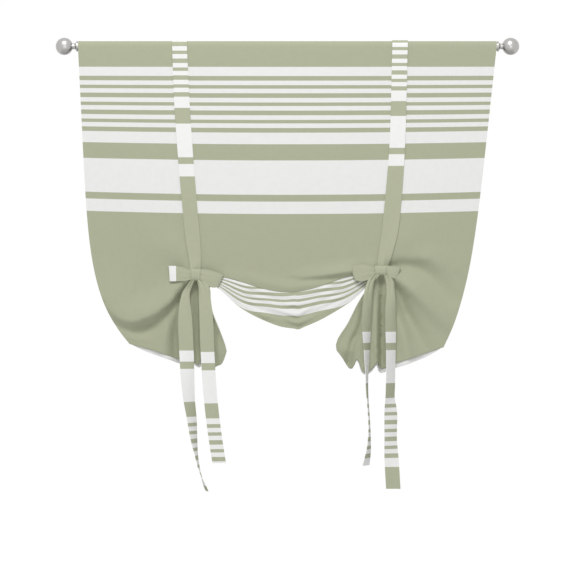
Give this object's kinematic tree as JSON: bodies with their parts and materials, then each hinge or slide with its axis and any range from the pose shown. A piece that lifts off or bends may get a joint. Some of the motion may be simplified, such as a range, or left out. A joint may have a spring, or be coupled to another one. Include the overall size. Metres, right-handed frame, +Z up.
{
  "type": "tie-up curtain",
  "caption": "Rod-pocket window curtain with green and white stripes, gathered into a swag by fabric ties knotted in bows, on a rod with ball ends.",
  "frame": {"origin": "middle of the rod's axis", "axes": "+X along the rod, +Y towards the window, +Z up; the curtain's face looks along -Y"},
  "size_m": [1.2926, 0.0882, 1.258],
  "materials": {
    "curtain_cloth": "plain woven polyester, printed with sage green and white stripes, matt",
    "tie_cloth": "the same printed cloth, sewn double as a flat strap",
    "rod_steel": "nickel plated steel tube",
    "plug_plastic": "moulded insert with a threaded hole",
    "brushed_nickel": "turned and brushed nickel, soft sheen"
  },
  "bodies": {
    "root": {"curtain_panel": "curtain_cloth", "rod_tube": "rod_steel", "rod_plug_left": "plug_plastic", "ball_end_left": "brushed_nickel", "front_tie_left": "tie_cloth", "back_tie_left": "tie_cloth", "rod_plug_right": "plug_plastic", "ball_end_right": "brushed_nickel", "front_tie_right": "tie_cloth", "back_tie_right": "tie_cloth"}
  },
  "joints": []
}
